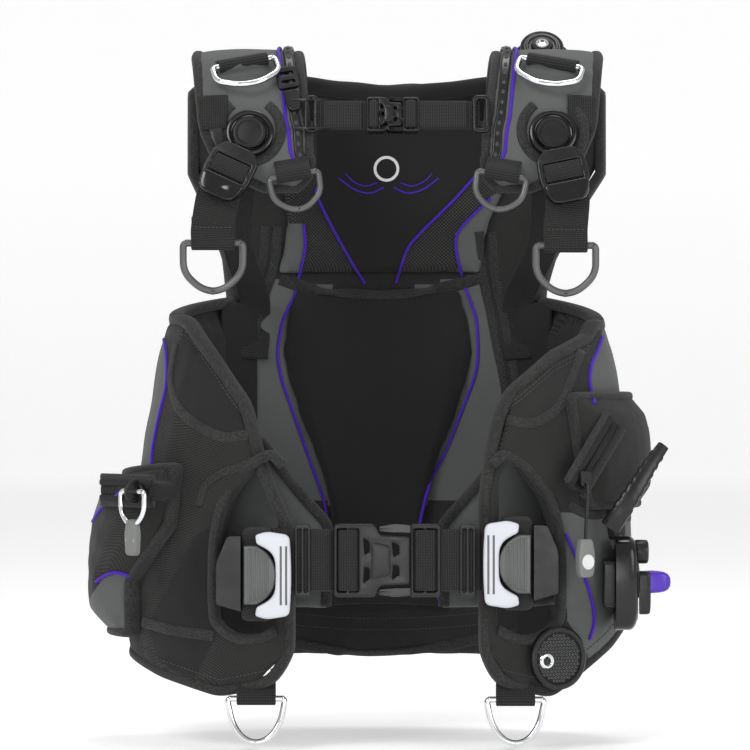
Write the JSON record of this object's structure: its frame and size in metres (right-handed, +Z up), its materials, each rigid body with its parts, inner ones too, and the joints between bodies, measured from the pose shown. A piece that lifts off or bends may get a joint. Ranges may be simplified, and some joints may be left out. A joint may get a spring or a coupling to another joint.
{
  "type": "buoyancy compensator vest",
  "caption": "Inflatable jacket vest for a diver, with padded shoulders, waist and chest buckles, pull-out weight pouches, pockets, rings and a tank band behind a plate.",
  "frame": {"origin": "centre of the tank seat's rear face", "axes": "+Y points back to the tank, +Z up, -X is the wearer's right-hand side"},
  "size_m": [0.4767, 0.4677, 0.6069],
  "materials": {
    "nylon": "woven nylon, matt",
    "neoprene": "smooth faced neoprene, matt",
    "webbing": "ribbed webbing",
    "black_plastic": "moulded, satin",
    "grey_plastic": "moulded, satin",
    "silver_handle": "silver moulded, satin",
    "chrome_ring": "polished",
    "mesh": "open mesh"
  },
  "bodies": {
    "vest": {"back_air_cell": "nylon", "back_pad": "neoprene", "upper_back_panel": "mesh", "collar": "nylon", "shoulder_valve_body": "black_plastic", "shoulder_pad_right": "neoprene", "swivel_cap_right": "black_plastic", "underarm_strap_right": "webbing", "lobe_right": "nylon", "cummerbund_right": "neoprene", "weight_receiver_right": "black_plastic", "hip_tab_right": "webbing", "shoulder_pad_left": "neoprene", "swivel_cap_left": "black_plastic", "underarm_strap_left": "webbing", "lobe_left": "nylon", "cummerbund_left": "neoprene", "weight_receiver_left": "black_plastic", "hip_tab_left": "webbing", "waist_buckle_male": "black_plastic", "waist_web_right": "webbing", "waist_slider_right": "black_plastic", "waist_web_left": "webbing", "waist_slider_left": "black_plastic", "pocket_right": "nylon", "pocket_left": "nylon", "tank_seat_pad": "grey_plastic", "backplate": "black_plastic", "tank_band": "webbing", "cam_frame": "black_plastic", "inflator_housing": "black_plastic", "hose_keeper": "black_plastic", "drain_panel": "mesh"},
    "swivel_right": {"swivel_buckle_right": "black_plastic", "pull_web_right": "webbing"},
    "pull_ring_right": {"pull_ring_right": "grey_plastic"},
    "shoulder_dring_right": {"shoulder_dring_right": "chrome_ring"},
    "chest_dring_right": {"chest_dring_right": "grey_plastic"},
    "hip_dring_right": {"hip_dring_right": "chrome_ring"},
    "weight_right": {"weight_handle_right": "silver_handle", "weight_pouch_right": "nylon"},
    "swivel_left": {"swivel_buckle_left": "black_plastic", "pull_web_left": "webbing"},
    "pull_ring_left": {"pull_ring_left": "grey_plastic"},
    "shoulder_dring_left": {"shoulder_dring_left": "chrome_ring"},
    "chest_dring_left": {"chest_dring_left": "grey_plastic"},
    "hip_dring_left": {"hip_dring_left": "chrome_ring"},
    "weight_left": {"weight_handle_left": "silver_handle", "weight_pouch_left": "nylon"},
    "waist_release": {"waist_buckle_female": "black_plastic"},
    "sternum_strap": {"sternum_web_right": "webbing", "sternum_web_left": "webbing", "sternum_buckle_male": "black_plastic"},
    "sternum_release": {"sternum_buckle_female": "black_plastic"},
    "cam_lever": {"cam_lever": "black_plastic"},
    "inflator_lever": {"inflator_lever": "black_plastic"},
    "valve_knob": {"shoulder_valve_knob": "black_plastic"},
    "zip_right": {"zip_slider_right": "black_plastic"},
    "zip_ring": {"zip_ring_right": "chrome_ring"},
    "zip_left": {"zip_slider_left": "grey_plastic"}
  },
  "joints": [
    {"name": "swivel_turn_right", "type": "hinge", "parent": "vest", "child": "swivel_right", "pos_m": [-0.115, -0.19265, 0.205], "axis": [0, -0.9564, 0.292], "range_deg": [-20, 12]},
    {"name": "pull_ring_swing_right", "type": "hinge", "parent": "swivel_right", "child": "pull_ring_right", "pos_m": [-0.145, -0.21019, 0.114], "axis": [1, 0, 0], "range_deg": [-60, 60]},
    {"name": "shoulder_ring_lift_right", "type": "hinge", "parent": "vest", "child": "shoulder_dring_right", "pos_m": [-0.121, -0.16815, 0.26747], "axis": [-0.9703, -0.1608, -0.1807], "range_deg": [0, 120]},
    {"name": "chest_ring_lift_right", "type": "hinge", "parent": "vest", "child": "chest_dring_right", "pos_m": [-0.078, -0.20698, 0.17092], "axis": [-0.9848, -0.0397, -0.169], "range_deg": [0, 110]},
    {"name": "hip_ring_swing_right", "type": "hinge", "parent": "vest", "child": "hip_dring_right", "pos_m": [-0.108, -0.24718, -0.263], "axis": [1, 0, 0], "range_deg": [-60, 60]},
    {"name": "weight_pull_right", "type": "slide", "parent": "vest", "child": "weight_right", "axis": [0, -1, 0], "range_m": [0, 0.062]},
    {"name": "swivel_turn_left", "type": "hinge", "parent": "vest", "child": "swivel_left", "pos_m": [0.139, -0.19265, 0.205], "axis": [0, -0.9564, 0.292], "range_deg": [-10, 20]},
    {"name": "pull_ring_swing_left", "type": "hinge", "parent": "swivel_left", "child": "pull_ring_left", "pos_m": [0.149, -0.21151, 0.112], "axis": [1, 0, 0], "range_deg": [-60, 60]},
    {"name": "shoulder_ring_lift_left", "type": "hinge", "parent": "vest", "child": "shoulder_dring_left", "pos_m": [0.139, -0.16815, 0.26747], "axis": [-0.9703, 0.1608, 0.1807], "range_deg": [0, 120]},
    {"name": "chest_ring_lift_left", "type": "hinge", "parent": "vest", "child": "chest_dring_left", "pos_m": [0.096, -0.20698, 0.17092], "axis": [-0.9848, 0.0397, 0.169], "range_deg": [0, 110]},
    {"name": "hip_ring_swing_left", "type": "hinge", "parent": "vest", "child": "hip_dring_left", "pos_m": [0.106, -0.24475, -0.264], "axis": [1, 0, 0], "range_deg": [-60, 60]},
    {"name": "weight_pull_left", "type": "slide", "parent": "vest", "child": "weight_left", "axis": [0, -1, 0], "range_m": [0, 0.062]},
    {"name": "waist_release", "type": "slide", "parent": "vest", "child": "waist_release", "axis": [-1, 0, 0], "range_m": [0, 0.0195]},
    {"name": "sternum_height", "type": "slide", "parent": "vest", "child": "sternum_strap", "axis": [0, 0.3377, 0.9413], "range_m": [-0.01, 0.01]},
    {"name": "sternum_release", "type": "slide", "parent": "sternum_strap", "child": "sternum_release", "axis": [-1, 0, 0], "range_m": [0, 0.01]},
    {"name": "cam_lever_open", "type": "hinge", "parent": "vest", "child": "cam_lever", "pos_m": [0.10598, 0.10979, -0.01], "axis": [0, 0, -1], "range_deg": [0, 130]},
    {"name": "inflator_rock", "type": "hinge", "parent": "vest", "child": "inflator_lever", "pos_m": [0.212, -0.218, -0.169], "axis": [0, 1, 0], "range_deg": [-6, 6], "stiffness_Nm_per_rad": 0.6},
    {"name": "valve_press", "type": "slide", "parent": "vest", "child": "valve_knob", "axis": [0, 0.7547, -0.6561], "range_m": [0, 0.003], "stiffness_N_per_m": 200},
    {"name": "zip_run_right", "type": "slide", "parent": "vest", "child": "zip_right", "axis": [-0.6431, 0.7658, 0], "range_m": [0, 0.044]},
    {"name": "zip_ring_lift", "type": "hinge", "parent": "zip_right", "child": "zip_ring", "pos_m": [-0.20983, -0.24741, -0.092], "axis": [-0.6431, 0.7658, 0], "range_deg": [0, 100]},
    {"name": "zip_run_left", "type": "slide", "parent": "vest", "child": "zip_left", "axis": [0.4869, 0.3767, 0.788], "range_m": [0, 0.036]}
  ]
}
